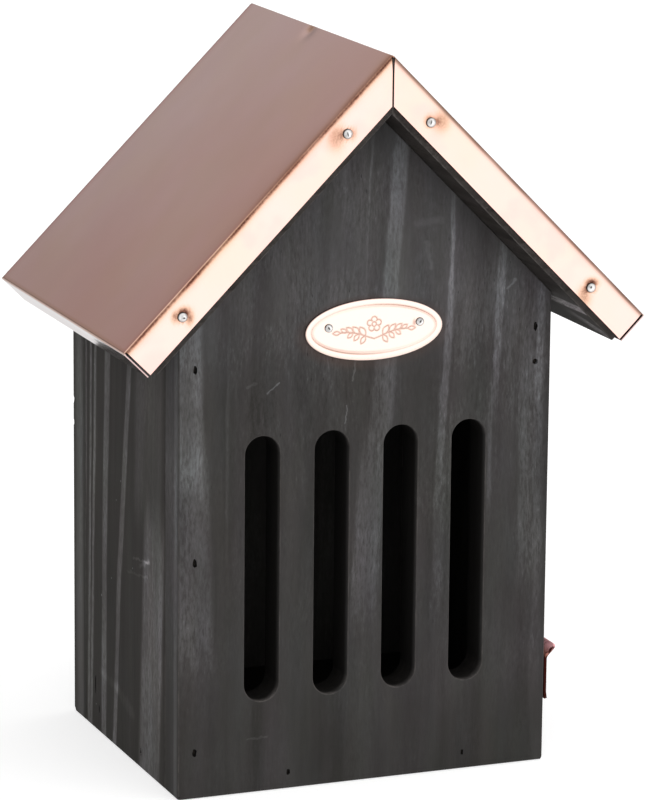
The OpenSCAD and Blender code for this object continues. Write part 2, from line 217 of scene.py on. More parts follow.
def wood(name, axes, seed, pith, spacing, ring=0.5, base=0.38, streaks=(), scratches=(), painted_light_rises=(),
         wave=1.0, lively=1.0, tint=(1.03, 0.985, 0.978), plaque_reflection=None, rim=(), wear=0.6, calm=0.0, ends=None):
    """Black-stained softwood. axes are those across the board's face, into it and along its grain, and
    pith is the middle of its rings in the first two. The pale streaks, pale grain with a painted sheen on
    it, are (across at the low end, at the high end, half width, strength, low end, high end), the
    scratches (two ends across and along, half width, strength), and painted_light_rises paint light and
    shade up the board, changing its lightness over ranges of height. rim has the streaks of the board's
    narrow edges, as (depth, half width, strength). The grain is quieter below calm, and ends keeps the
    streaks off the end grain."""
    t = material_tree(name)
    x, y, z = t.split(t.place())
    across, deep, along = ({"X": x, "Y": y, "Z": z}[axis] for axis in axes)
    offset = (seed * 37.3, seed * 11.7, seed * 53.1)
    here = t.vmath("ADD", t.join(across, deep, along), offset)

    slow = t.noise(here, (0.018, 0.018, 0.0055), colour=True)
    quick = t.noise(here, (0.09, 0.09, 0.022), colour=True)
    s1, s2, s3 = t.split(slow)
    q1, q2, q3 = t.split(quick)

    def sway(start, a, b, ka, kb):
        bent = t.vary(start, a, ka)
        return t.vary(bent, b, kb)

    u = sway(across, s1, q1, 13.0, 1.6)
    v = sway(deep, s2, q2, 13.0, 1.6)

    # Growth rings: pale early wood that darkens slowly, then a hard dark line
    r = t.vmath("LENGTH", t.join(t.sub(u, pith[0]), t.sub(v, pith[1]), 0.0))
    count = t.math("DIVIDE", r, spacing)
    late = t.ramp(t.math("FRACT", count), [
        (0.0, 0.25), (0.1, 0.0), (0.55, 0.18), (0.86, 1.0), (0.95, 0.9), (1.0, 0.25)])
    chance = t.node("ShaderNodeTexWhiteNoise", noise_dimensions="1D")
    t.plug(chance.inputs["W"], t.math("FLOOR", count))
    late = t.mul(late, t.madd(chance.outputs["Value"], 0.8, 0.3))

    # Fibres and broad streaks along the grain
    bent = t.vmath("ADD", t.join(u, v, along), offset)
    fibre = t.noise(bent, (1.30, 1.30, 0.34), detail=3.0, rough=0.66)
    thread = t.noise(bent, (0.75, 0.75, 0.075), rough=0.55)
    streak = t.noise(bent, (0.16, 0.16, 0.012))
    blotch = t.noise(here, (0.05, 0.05, 0.025), detail=3.0, rough=0.6)

    # Pale streaks: pale grain with a painted sheen on it
    pale = 0.0
    path = sway(across, s3, q3, 3.0 * wave, 1.6 * wave)
    path = t.vary(path, thread, 1.1)
    for at_low, at_high, half, strength, low, high in streaks:
        steep = (at_high - at_low) / (high - low)
        gap = t.madd(along, -steep, t.sub(path, at_low - steep * low))
        soft = 0.28 + 0.16 * half
        right_side = t.step(gap, half - soft, half + soft, strength, 0.0)
        mark = t.mul(t.step(gap, -half - soft, soft - half), right_side)
        if low > 0:
            mark = t.mul(mark, t.step(along, low - STREAK_FADE, low + STREAK_FADE))
        mark = t.mul(mark, t.step(along, high - STREAK_FADE, high + STREAK_FADE, 1.0, 0.0))
        pale = t.add(pale, mark)

    if ends:
        pale = t.mul(pale, t.step(t.abs(along), *ends))
    if streaks and rim:
        pale = t.mul(pale, t.step(t.abs(x), *EDGE_FACE, 1.0, 0.4))
    busy = t.step(blotch, 0.38, 0.62, 0.30 * lively, 1.0 * lively)
    if calm:
        busy = t.mul(busy, t.step(along, calm - 25.0, calm + 25.0, 0.35, 1.0))
    busy = t.madd(pale, 0.7 * lively, busy)
    grain = t.mul(t.sub(fibre, 0.5), 0.62)
    grain = t.vary(grain, thread, 0.30)
    grain = t.madd(t.step(fibre, 0.62, 0.74), 0.10, grain)
    lightness = t.madd(grain, busy, base)
    lightness = t.vary(lightness, streak, 0.34)
    lightness = t.vary(lightness, blotch, 0.26)
    lightness = t.madd(late, -0.36 * ring, lightness)
    # Painted light and shade: lightness added or taken away over ranges of height up the board
    for painted_rise in painted_light_rises:
        lightness = t.add(lightness, t.step(along, *painted_rise))
    if streaks:
        pale = t.mul(pale, t.step(blotch, 0.25, 0.6, 0.88, 1.06))
        pale = t.mul(pale, t.step(fibre, 0.30, 0.58, 0.82, 1.05))
        lightness = t.add(lightness, pale)
    edge = t.step(t.abs(across), *EDGE_FACE) if rim else 0.0
    for middle, half, strength in rim:
        gap = t.abs(t.sub(sway(deep, s3, q3, 1.6, 0.8), middle))
        mark = t.step(gap, 0.3 * half, 1.3 * half, strength, 0.0)
        lightness = t.madd(mark, edge, lightness)
    if scratches:
        kink = t.noise(here, 0.30, rough=0.6, colour=True)
        kink = t.vmath("SCALE", t.vmath("SUBTRACT", kink, (0.5, 0.5, 0.5)), scale=2.4)
        wobbly = t.vmath("ADD", t.join(across, along, 0.0), kink)
        wobbly = t.vmath("MULTIPLY", wobbly, (1.0, 1.0, 0.0))
    for ax, az, bx, bz, half, strength in scratches:
        end = Vector((bx - ax, bz - az, 0.0))
        start = t.vmath("SUBTRACT", wobbly, (ax, az, 0.0))
        part = t.math("DIVIDE", t.vmath("DOT_PRODUCT", start, tuple(end)), end.length_squared, clamp=True)
        gap = t.vmath("DISTANCE", start, t.vmath("SCALE", tuple(end), scale=part))
        gap = t.vary(gap, fibre, 3.4 * half)
        lightness = t.add(lightness, t.step(gap, 0.2 * half, 1.4 * half, strength, 0.0))

    colour = t.ramp(t.mul(lightness, 0.7), [
        (0.0, (0.0195, 0.0190, 0.0180)), (0.175, (0.033, 0.0325, 0.031)),
        (0.35, (0.0555, 0.0550, 0.0545)), (0.525, (0.0935, 0.0955, 0.097)),
        (0.70, (0.157, 0.166, 0.173)), (0.875, (0.26, 0.27, 0.28)), (1.0, (0.40, 0.41, 0.42)),
    ])
    hue = t.noise(here, (0.10, 0.10, 0.022), colour=True)
    hue = t.vmath("SCALE", t.vmath("SUBTRACT", hue, (0.5, 0.5, 0.5)), scale=0.12)
    colour = t.mix(1.0, colour, t.vmath("ADD", hue, tint), "MULTIPLY")
    if plaque_reflection:
        # A painted reddish reflection of the plaque on the wood round it
        gx, gz, gw, gh = plaque_reflection
        across_reflection = t.math("DIVIDE", t.sub(across, gx), gw)
        near = t.vmath("LENGTH", t.join(across_reflection, t.math("DIVIDE", t.sub(along, gz), gh), 0.0))
        near = t.mul(t.step(near, 0.92, 1.22, 0.34, 0.0), t.step(blotch, 0.35, 0.6, 0.35, 1.0))
        colour = t.mix(near, colour, (0.105, 0.062, 0.050))

    # Short dark pores and sparse pale specks
    pore_near, pore_any = t.cells(here, (0.55, 0.55, 0.13))
    pore = t.mul(t.step(pore_near, 0.05, 0.12, 1.0, 0.0), t.step(t.split(pore_any)[0], 0.5, 0.9))
    pore = t.mul(pore, t.step(blotch, 0.40, 0.62, 0.25, 0.9))
    if calm:
        pore = t.mul(pore, t.step(along, calm - 25.0, calm + 25.0, 0.2, 1.0))
    colour = t.mix(t.mul(pore, 0.8), colour, (0.012, 0.011, 0.011))
    speck_near, speck_any = t.cells(here, (0.11, 0.11, 0.085))
    big, kind, _ = t.split(speck_any)
    speck = t.step(t.madd(big, -0.02, speck_near), 0.012, 0.030, 1.0, 0.0)
    speck = t.mul(speck, t.step(kind, 0.50, 0.52))
    colour = t.mix(t.mul(speck, 0.38), colour, (0.36, 0.37, 0.38))

    # Painted shade, dark and unworn, inside the box, up to the roof boards, and in the depth of the slots
    side_in, back_in = HALF_W - BOARD_T, BACK_Y - BOARD_T
    inside = t.step(t.abs(x), side_in - 0.1, side_in + 0.1, 1.0, 0.0)
    inside = t.mul(inside, t.step(y, FRONT_Y + 0.1, FRONT_Y + 3.4))
    inside = t.mul(inside, t.step(y, back_in - 0.1, back_in + 0.1, 1.0, 0.0))
    inside = t.mul(inside, t.step(z, 0.5, 1.5))
    inside = t.mul(inside, t.step(t.add(z, t.abs(x)), APEX_Z - 0.2, APEX_Z + 0.2, 1.0, 0.0))

    # Worn edges
    chips = t.noise(here, (0.35, 0.35, 0.11), detail=4.0, rough=0.7)
    worn = t.mul(t.attribute("edge_wear"), t.step(chips, 0.40, 0.66, 0.22, 1.0))
    colour = t.mix(t.mul(worn, wear), colour, (0.125, 0.114, 0.108))
    # The painted shade inside the box and the slots
    colour = t.mix(t.mul(inside, 0.88), colour, (0.006, 0.0055, 0.005))

    rough = t.madd(fibre, 0.20, 0.60)
    rough = t.madd(late, -0.08 * ring, rough)
    height = t.madd(fibre, 0.55, t.mul(thread, 0.35))
    height = t.madd(late, 0.35 * ring, height)
    height = t.madd(pore, -0.6, height)
    normal = t.bump(height, 0.00020, 0.5)
    return t.principled(Base_Color=colour, Roughness=rough, Normal=normal, IOR=1.45, Specular_IOR_Level=0.06)


def hole_shade_wood():
    """Painted shade: the black inside of a brad's hole or a gouge."""
    t = material_tree("wood_hole_shade")
    torn = t.noise(t.place(), (1.4, 1.4, 0.5), detail=3.0, rough=0.6)
    colour = t.ramp(torn, [
        (0.3, (0.0015, 0.0014, 0.0013)), (0.65, (0.006, 0.0055, 0.005)), (0.85, (0.03, 0.026, 0.022))])
    normal = t.bump(torn, 0.0002, 0.8)
    return t.principled(Base_Color=colour, Roughness=0.8, Normal=normal, Specular_IOR_Level=0.1)


def copper(name="copper_sheet", painted_dark_tint=None):
    """Sheet copper, which painted_dark_tint darkens as painted shade."""
    t = material_tree(name)
    here = t.place()
    cloud = t.noise(here, 0.03, detail=3.0, rough=0.55)
    rolled = t.noise(here, (0.9, 0.012, 0.9))
    grit = t.noise(here, 1.6, rough=0.6)
    patch = t.noise(here, 0.085)
    colour = t.mix(t.step(cloud, 0.35, 0.7), (0.950, 0.645, 0.580), (0.940, 0.640, 0.545))
    pink = t.mul(t.step(patch, 0.48, 0.70, 0.0, 0.7), t.step(t.attribute("slope"), 0.0, 0.5, 1.0, 0.12))
    colour = t.mix(pink, colour, (0.945, 0.590, 0.535))

    # The slopes are paler towards the ridge and the back
    x, y, z = t.split(here)
    far = t.madd(y, 0.0068, t.madd(z, 0.0045, -0.40))
    drift = t.noise(here, 0.016, detail=1.5, rough=0.4)
    far = t.vary(far, drift, 0.9, clamp=True)
    far_paler = t.mix(1.0, colour, t.mix(far, (0.912, 0.812, 0.790), (1.045, 1.125, 1.175)), "MULTIPLY")
    colour = t.mix(t.attribute("slope"), colour, far_paler)
    colour = t.mix(t.attribute("blush"), colour, (0.86, 0.43, 0.40))
    # Patina, with painted shade and reflections round the nails
    stain_and_shade = t.attribute("tarnish_and_shade")
    stain_and_shade = t.mul(stain_and_shade, t.step(grit, 0.2, 0.7, 0.85, 1.1))
    burnt_and_shade = t.ramp(stain_and_shade, [
        (0.0, (1.0, 1.0, 1.0)), (0.22, (0.895, 0.845, 0.750)), (0.45, (0.640, 0.570, 0.455)),
        (0.62, (0.405, 0.320, 0.250)), (0.80, (0.200, 0.125, 0.095)), (1.0, (0.058, 0.033, 0.030)),
    ])
    colour = t.mix(1.0, colour, burnt_and_shade, "MULTIPLY")
    shade = t.mix(t.attribute("shade"), (1.0, 1.0, 1.0), (0.28, 0.26, 0.25))
    colour = t.mix(1.0, colour, shade, "MULTIPLY")
    # Painted shade: the eave flanges' copper is darkened so that they mirror less light
    if painted_dark_tint:
        colour = t.mix(1.0, colour, painted_dark_tint, "MULTIPLY")
    rough = t.madd(cloud, 0.05, 0.05)
    rough = t.madd(stain_and_shade, 0.22, rough)
    rough = t.vary(rough, grit, 0.04)
    height = t.madd(rolled, 0.5, t.mul(grit, 0.12))
    normal = t.bump(height, 0.00001, 0.6)
    # The tint darkens what the sheet mirrors at a grazing angle
    return t.principled(
        Base_Color=colour, Metallic=1.0, Roughness=rough, Normal=normal, Specular_Tint=(0.62, 0.62, 0.62, 1.0))


def dark_copper():
    """Copper that has gone dark red-brown, paler on the lip that is handled."""
    t = material_tree("copper_aged")
    here = t.place()
    cloud = t.noise(here, 0.22, detail=3.0, rough=0.6)
    grit = t.noise(here, 2.2, rough=0.6)
    handled = t.attribute("handled")
    worn = t.mul(t.step(handled, 0.0, 0.2), t.step(cloud, 0.34, 0.48))
    colour = t.mix(t.step(grit, 0.3, 0.7), (0.120, 0.030, 0.026), (0.190, 0.058, 0.042))
    # The front edge is darker
    edge = t.step(t.split(here)[1], -44.42, -44.20, 1.0, 0.0)
    dark = t.mix(t.step(grit, 0.3, 0.7), (0.022, 0.004, 0.003), (0.054, 0.011, 0.008))
    colour = t.mix(edge, colour, dark)
    bare = t.mix(t.step(handled, 0.15, 0.9), (0.34, 0.125, 0.085), (0.86, 0.43, 0.455))
    colour = t.mix(worn, colour, bare)
    rough = t.madd(worn, 0.25, t.madd(grit, 0.16, 0.30))
    normal = t.bump(t.madd(cloud, 0.5, grit), 0.00008, 0.5)
    metal = t.madd(worn, -0.90, 1.0)
    return t.principled(Base_Color=colour, Metallic=metal, Roughness=rough, Normal=normal)


def engraved_copper():
    t = material_tree("copper_plaque")
    here = t.place()
    grit = t.noise(here, 2.0, rough=0.6)
    line = t.attribute("engraving")
    line = t.mul(line, t.step(grit, 0.25, 0.7, 0.8, 1.0))
    colour = t.mix(line, (0.960, 0.770, 0.685), (0.47, 0.215, 0.145))
    colour = t.mix(t.attribute("rim_dark"), colour, (0.075, 0.022, 0.015))
    rough = t.madd(grit, 0.06, 0.15)
    rough = t.madd(line, 0.25, rough)
    normal = t.bump(grit, 0.00001, 0.6)
    return t.principled(Base_Color=colour, Metallic=1.0, Roughness=rough, Normal=normal)


def steel(name, colour=(0.66, 0.65, 0.64), darkening=(0.10, 0.085, 0.075), amount=0.35, rough=0.28):
    t = material_tree(name)
    here = t.place()
    grit = t.noise(here, 1.3, detail=3.0, rough=0.65)
    fine = t.noise(here, 5.0, rough=0.6)
    mask = t.mul(t.step(grit, 0.48, 0.68), amount)
    shade = t.mix(mask, colour, darkening)
    # Painted shade at the edges of nail and screw heads, and dark reflections painted in the nails' marks
    shade = t.mix(t.attribute("painted_shade"), shade, (0.018, 0.015, 0.013))
    roughness = t.madd(grit, 0.22, rough - 0.08)
    normal = t.bump(t.madd(fine, 0.4, grit), 0.00008, 0.5)
    return t.principled(Base_Color=shade, Metallic=1.0, Roughness=roughness, Normal=normal)


# ---------------------------------------------------------------- mesh helpers

def bell(x, width, power=2):
    """1 at 0, and about a third at the width."""
    return exp(-(x / width) ** power)


def linked(name, data):
    made = bpy.data.objects.new(name, data)
    bpy.context.scene.collection.objects.link(made)
    return made


def applied(piece, name):
    """The object's mesh with its modifiers applied. The object and its old mesh are removed."""
    old = piece.data
    made = bpy.data.meshes.new_from_object(piece.evaluated_get(bpy.context.evaluated_depsgraph_get()))
    bpy.data.objects.remove(piece)
    bpy.data.meshes.remove(old)
    made.name = name
    return made


def new_piece(name, mesh, node, material, body="house"):
    """Puts the mesh in the place of the node."""
    piece = linked(name, mesh)
    mesh.materials.clear()
    mesh.materials.append(material)
    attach(piece, body)
    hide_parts(node)
    return piece


def smooth_by_angle(mesh, degrees):
    mesh.shade_smooth()
    mesh.set_sharp_from_angle(angle=radians(degrees))


def mesh_from(bm, name, degrees=35):
    bmesh.ops.recalc_face_normals(bm, faces=bm.faces)
    mesh = bpy.data.meshes.new(name)
    bm.to_mesh(mesh)
    bm.free()
    smooth_by_angle(mesh, degrees)
    return mesh


def cut(mesh, tool_bm, name):
    """mesh less the solids in tool_bm."""
    body, tool = linked("to_cut", mesh), linked("tool", mesh_from(tool_bm, "tool"))
    less = body.modifiers.new("cut", "BOOLEAN")
    less.operation = "DIFFERENCE"
    less.solver = "EXACT"
    less.use_self = True
    less.object = tool
    made = applied(body, name)
    bpy.data.objects.remove(tool)
    smooth_by_angle(made, 35)
    return made


def level_normals(piece):
    """Large faces stay flat, and the rounded edges turn smoothly into them."""
    keep = piece.modifiers.new("level_normals", "WEIGHTED_NORMAL")
    keep.mode = "FACE_AREA"
    keep.weight = 50
    keep.keep_sharp = True


def clean_copy(node):
    """The node's solid as large flat faces."""
    bm = bmesh.new()
    bm.from_mesh(nodes[node].data)
    bmesh.ops.remove_doubles(bm, verts=bm.verts, dist=1e-6)
    bmesh.ops.dissolve_limit(
        bm, angle_limit=radians(0.5), verts=bm.verts, edges=bm.edges, use_dissolve_boundaries=False)
    return bm


def edge_sets(edges):
    """Groups of edges that touch each other."""
    edges = set(edges)
    while edges:
        seed = edges.pop()
        group, todo = {seed}, [seed]
        while todo:
            e = todo.pop()
            for v in e.verts:
                for other in v.link_edges:
                    if other in edges:
                        edges.discard(other)
                        group.add(other)
                        todo.append(other)
        yield group


def bevel(bm, edges, width, segments):
    bmesh.ops.bevel(
        bm, geom=edges, offset=width * MM, offset_type="OFFSET", segments=segments, profile=0.5,
        affect="EDGES", clamp_overlap=False)


def ease_edges(bm, width, least=6.0):
    """Rounds the sharp outer edges, and leaves those of small holes as they are."""
    sharp = [
        e for e in bm.edges
        if len(e.link_faces) == 2 and e.is_convex and e.calc_face_angle(0.0) > radians(22)
    ]
    chosen = []
    for group in edge_sets(sharp):
        co = np.array([v.co for e in group for v in e.verts])
        if np.linalg.norm(co.max(0) - co.min(0)) > least * MM:
            chosen += group
    bevel(bm, chosen, width, 2)


def ragged(bm, centre, radii, seed):
    """A torn lump, in millimetres."""
    made = bmesh.ops.create_icosphere(bm, subdivisions=3, radius=1.0)
    for v in made["verts"]:
        p = v.co.copy()
        k = 1.0 + 0.30 * noise.noise(p * 1.6 + Vector((seed, 2.7 * seed, 0.4)))
        v.co = Vector([a * b * k + c for a, b, c in zip(p, radii, centre)]) * MM


def board(name, node, material, holes=(), chips=(), body="house"):
    """The node's solid with eased edges. holes and chips are torn lumps cut out of it: (centre, radii)."""
    bm = clean_copy(node)
    ease_edges(bm, 0.45)
    mesh = bpy.data.meshes.new(name)
    bm.to_mesh(mesh)
    bm.free()
    if holes or chips:
        lumps = bmesh.new()
        for n, (centre, radii) in enumerate(list(holes) + list(chips)):
            ragged(lumps, centre, radii, 3.1 * n + len(name))
        mesh = cut(mesh, lumps, name)
    smooth_by_angle(mesh, 50)
    mark_worn(mesh, node)
    piece = new_piece(name, mesh, node, material, body)
    if holes:
        # The faces in the holes get the black painted shade
        mesh.materials.append(hole_shade)
        for face in mesh.polygons:
            face.material_index = int(any(in_lump(face, *hole) for hole in holes))
    level_normals(piece)


def mark_worn(mesh, node):
    """Writes the edge_wear attribute: 1 at the middle of the rounded edges, 0 at every flat face."""
    bm = clean_copy(node)
    flats = [f.normal.copy() for f in bm.faces if f.calc_area() > 20 * MM * MM]
    bm.free()
    worn = np.ones(len(mesh.vertices))
    for face in mesh.polygons:
        if any(face.normal.dot(flat) > 0.9995 for flat in flats):
            worn[list(face.vertices)] = 0.0
    mesh.attributes.new("edge_wear", "FLOAT", "POINT").data.foreach_set("value", worn)


def in_lump(face, centre, radii):
    """True for a face inside a lump, and not on the flat of the board that the lump is cut into."""
    off = face.center / MM - Vector(centre)
    flat = max(range(3), key=lambda k: abs(face.normal[k]))
    if sum((off[k] / (1.35 * radii[k])) ** 2 for k in range(3)) > 1:
        return False
    return not (abs(face.normal[flat]) > 0.999 and abs(off[flat]) < 0.01)


# ---------------------------------------------------------------- copper roof

def slope_point(side, s, d, y):
    """s runs down the slope from the ridge, d goes in from the outer face."""
    return Vector((side * (s - d) * COS45, y, RIDGE_Z - (s + d) * COS45))


def spread(a, b, step):
    count = max(1, round(abs(b - a) / step))
    return [a + (b - a) * i / count for i in range(count + 1)]


def fold_roof(bm, zone):
    """The sheet's outer face in one piece. zone is 0 on the slopes, 1 and 2 on the front and back
    flanges, and 3 at the eaves."""
    r = FOLD_R
    flange = [0.95, 1.2, 1.5, 1.9, 2.4] + spread(3.0, FLANGE_W, 0.75)
    fold = [(r - r * cos(a), r * sin(a)) for a in (FOLD_STEP * k for k in range(1, 5))]
    near = [0.0, 0.3, 0.6, 1.0, 1.5, 2.1, 2.9, 3.9]
    flat_y = [r - ROOF_Y + k for k in near] + spread(r - ROOF_Y + 5.0, ROOF_Y - r, 1.3)
    # Each column is a place front to back and a depth, which is 0 only on the slopes
    columns = [(-ROOF_Y, d) for d in reversed(flange)]
    columns += [(-ROOF_Y + r - out, d) for d, out in reversed(fold)]
    columns += [(y, 0.0) for y in flat_y]
    columns += [(ROOF_Y - r + out, d) for d, out in fold]
    columns += [(ROOF_Y, d) for d in flange]
    tops = [j for j, (y, d) in enumerate(columns) if d == 0]
    bends = 4
    rows = [r * k / bends for k in range(bends)] + spread(r, SLOPE_L - r, 1.3)
    last = SLOPE_L - r
    flange_end = SLOPE_L - SHEET_T - CORNER_GAP

    def point(co, where):
        v = bm.verts.new(co * MM)
        v[zone] = where
        return v

    def place(side, i, s, y, d):
        if d > 0:
            first = (SEAM + 0.45 * exp(-(d / 2.2) ** 2)) * COS45 + d
            end = last + (flange_end - last) * min(1.0, d / r)
            return point(slope_point(side, first + (end - first) * s / last, d, y), 1 if y < 0 else 2)
        if i < bends:
            a = pi / 4 * i / bends
            return point(Vector((side * r * sin(a), y, RIDGE_Z - r * sqrt(2) + r * cos(a))), 0)
        return point(slope_point(side, s, 0.0, y), 0)

    for side in (-1, 1):
        grid = [[place(side, i, s, y, d) for y, d in columns] for i, s in enumerate(rows)]
        eave = [[point(slope_point(side, last + out, d, y), 3) for y in [-ROOF_Y] + flat_y + [ROOF_Y]]
                for d, out in fold + [(d, r) for d in flange]]

        def join(upper, lower):
            for a, b, c, d in zip(upper, lower, lower[1:], upper[1:]):
                bm.faces.new((a, b, c, d) if side > 0 else (d, c, b, a))

        for upper, lower in zip(grid, grid[1:]):
            join(upper, lower)
        join([grid[-1][j] for j in tops], eave[0][1:-1])
        for upper, lower in zip(eave, eave[1:]):
            join(upper, lower)
    bmesh.ops.remove_doubles(bm, verts=bm.verts, dist=1e-7)
    bm.normal_update()


def slope_wear(p, side, s, upper, uneven, ripple):
    rim = min(1.0, (ROOF_Y - abs(p.y)) / 8.0, s / 8.0, (SLOPE_L - s) / 8.0)
    out = (ripple - 0.03) * rim
    inward = ROOF_Y - abs(p.y) - FOLD_R
    blush = 0.4 * uneven * bell(inward, 2.4)
    darkening = 0.20 * bell(SLOPE_L - FOLD_R - s, 0.6)
    if p.y < 0:
        inward = max(0.0, inward)
        darkening = max(darkening, uneven * 0.48 * upper * bell(inward, 2.6, 1.5))
        darkening = max(darkening, uneven * 0.17 * (1.0 - upper) * bell(inward, 1.6))
    if side < 0:
        # A dent beside the ridge
        out -= 0.46 * bell(hypot((p.y - 4.6) / 3.2, (s - 2.6) / 3.0), 1.0)
        darkening = max(darkening, 0.62 * bell(hypot((p.y - 6.0) / 1.9, (s - 1.2) / 1.2), 1.0))
    return out, darkening, {"slope": 1.0, "blush": blush}


def flange_wear_and_shade(side, s, d, upper, uneven, ripple):
    reach = min(1.0, max(0.0, d - FOLD_R) / 2.5)
    out = (0.13 + ripple * 0.6) * reach
    if d < FOLD_R - 1e-4:
        bent = acos(max(-1.0, min(1.0, 1.0 - d / FOLD_R)))
        fold_dirt = (0.20 + 0.42 * upper, 0.56 + 0.13 * upper, 0.78, 0.76)
        darkening = uneven * fold_dirt[max(0, round(bent / FOLD_STEP) - 1)]
    else:
        darkening = uneven * (0.76 - 0.14 * upper) * bell(max(0.0, d - FOLD_R), 0.85 - 0.10 * upper, 1.2)
    more = {}
    if side > 0:
        darkening *= 0.25
        more["shade"] = 0.95 * uneven * bell(max(0.0, d - 0.6), 0.72)
    for row in (0, 1):
        down, deep = s - NAIL_S[(side, row)], d - NAIL_DEEP
        gap = hypot(down, deep)
        out -= 0.24 * bell(gap, 2.4) * reach
        # A dark ring round each nail: partly patina and partly painted shade
        darkening = max(darkening, 0.62 * bell(gap, 2.0, 8))
        right, up = side * (down - deep) * COS45, -(down + deep) * COS45
        # Painted reflections and shade beside each nail
        for mx, mz, wide, tall, strong in NAIL_SHADE_AND_REFLECTIONS[(side, row)]:
            darkening = max(darkening, strong * bell(hypot((right - mx) / wide, (up - mz) / tall), 1.0, 2.6))
    return out, darkening, more


def eave_wear(p, side, d, uneven):
    if d <= FOLD_R:
        return 0.0, 0.35 * uneven * max(0.0, 1.0 - d / (0.8 * FOLD_R)), {}
    reach = min(1.0, (d - FOLD_R) / 4.0)
    return (noise.noise(Vector((p.y * 0.03, 5.0 * side, 0.3))) * 0.12 - 0.05) * reach, 0.0, {}


def roof_wear_and_shade(p, zone):
    """How far out a point of the sheet is moved, its darkening (patina, with painted shade and reflections
    round the nails), and the values of its other layers.
    """
    side = 1 if p.x > 0 else -1
    s = (side * p.x + RIDGE_Z - p.z) * COS45
    d = (RIDGE_Z - p.z - side * p.x) * COS45
    ripple = noise.noise(p * 0.035) * 0.10 + noise.noise(p * 0.11 + Vector((7, 3, 1))) * 0.025
    upper = 1.0 / (1.0 + exp((s - 70.0) / 8.0))
    uneven = 1.0 + 0.25 * noise.noise(Vector((s * 0.09, 3.0 * side, zone)))
    if zone == 0:
        return slope_wear(p, side, s, upper, uneven, ripple)
    if zone == 3:
        return eave_wear(p, side, d, uneven)
    return flange_wear_and_shade(side, s, d, upper, uneven, ripple)


def copper_roof(material, eave_material):
    bm = bmesh.new()
    layers = {name: bm.verts.layers.float.new(name) for name in ("tarnish_and_shade", "blush", "slope", "shade")}
    zone = bm.verts.layers.int.new("zone")
    fold_roof(bm, zone)
    moves = []
    for v in bm.verts:
        out, darkening, more = roof_wear_and_shade(v.co / MM, v[zone])
        # The darkening is patina, with painted shade and reflections round the nails
        v[layers["tarnish_and_shade"]] = min(1.0, darkening)
        for name, value in more.items():
            v[layers[name]] = value
        moves.append(v.normal * out * MM)
    for v, move in zip(bm.verts, moves):
        v.co += move

    mesh = bpy.data.meshes.new("copper_roof_sheet")
    bm.to_mesh(mesh)
    bm.free()
    piece = linked("copper_roof_sheet", mesh)
    thick = piece.modifiers.new("sheet", "SOLIDIFY")
    thick.thickness = SHEET_T * MM
    thick.offset = -1.0
    thick.use_even_offset = True
    solid = applied(piece, "copper_roof_sheet")
    smooth_by_angle(solid, 40)
    new_piece("copper_roof_sheet", solid, "copper_roof", material)
    solid.materials.append(eave_material)
    for face in solid.polygons:
        p = face.center / MM
        face.material_index = int((abs(p.x) + RIDGE_Z - p.z) * COS45 > SLOPE_L - FOLD_R + 0.02)


# ---------------------------------------------------------------- small metal pieces

def join_rings(bm, one, two):
    """Faces between two closed rings of points. A ring may be one point."""
    count = max(len(one), len(two))
    for k in range(count):
        n = (k + 1) % count
        if len(one) == 1:
            bm.faces.new((one[0], two[n], two[k]))
        elif len(two) == 1:
            bm.faces.new((one[k], one[n], two[0]))
        else:
            bm.faces.new((one[k], one[n], two[n], two[k]))


def lathe(bm, profile, matrix, mark=None, rim=0.92):
    """Turns (radius, depth) points about +Y. mark is a small dent with a dark reflection painted in it: (x, z,
    half width, half height), and rim is the painted shade at the edge."""
    segments = 40
    rings = []
    painted_shade = bm.verts.layers.float.get("painted_shade") or bm.verts.layers.float.new("painted_shade")
    widest = max(radius for radius, depth in profile)
    for radius, depth in profile:
        angles = [2 * pi * k / segments for k in range(segments if radius > 1e-6 else 1)]
        rings.append([bm.verts.new((radius * cos(a), depth, radius * sin(a))) for a in angles])
    for one, two in zip(rings, rings[1:]):
        join_rings(bm, one, two)
    for v in (v for ring in rings for v in ring):
        x, depth, z = v.co
        # The head is painted darker towards its edge, as shade
        v[painted_shade] = rim * min(1.0, max(0.0, (hypot(x, z) / widest - 0.70) / 0.24)) ** 1.4
        if mark and depth < 0.05:
            gap = hypot((x - mark[0]) / mark[2], (z - mark[1]) / mark[3])
            v.co.y += 0.22 * bell(gap, 1.0)
            # A dark reflection painted in the mark and beside it
            beside = 0.45 * bell(x - mark[0] + 0.5, 0.6) * bell(z, 0.9)
            v[painted_shade] = max(v[painted_shade], 0.97 * bell(gap, 1.0, 4), beside)
        v.co = matrix @ v.co * MM


def head_profile(radius, height, shank, length):
    """From the crown of a low round head to the point of its shank."""
    crown = [(radius * sin(a) * 0.94, -height * (1 - 1.15 * (1 - cos(a))))
             for a in (radians(6.0 * k) for k in range(11))]
    crown = [(0.0, -height)] + [(r, d) for r, d in crown if r > 0]
    return crown + [
        (radius * 0.93, -height * 0.42), (radius, -height * 0.26), (radius * 0.985, -height * 0.08),
        (radius * 0.9, 0.0), (shank, 0.04), (shank, length - 2.2 * shank),
        (shank * 0.35, length - 0.3 * shank), (0.0, length),
    ]


def turned(place, back, tilt=(0.0, 0.0), spin=0.0):
    """A frame at place (in millimetres) whose +Y goes into the wood."""
    turn = Matrix.Rotation(pi if back else 0.0, 4, "Z")
    lean = Matrix.Rotation(radians(tilt[0]), 4, "X") @ Matrix.Rotation(radians(tilt[1]), 4, "Z")
    return Matrix.Translation(place) @ turn @ lean @ Matrix.Rotation(spin, 4, "Y")


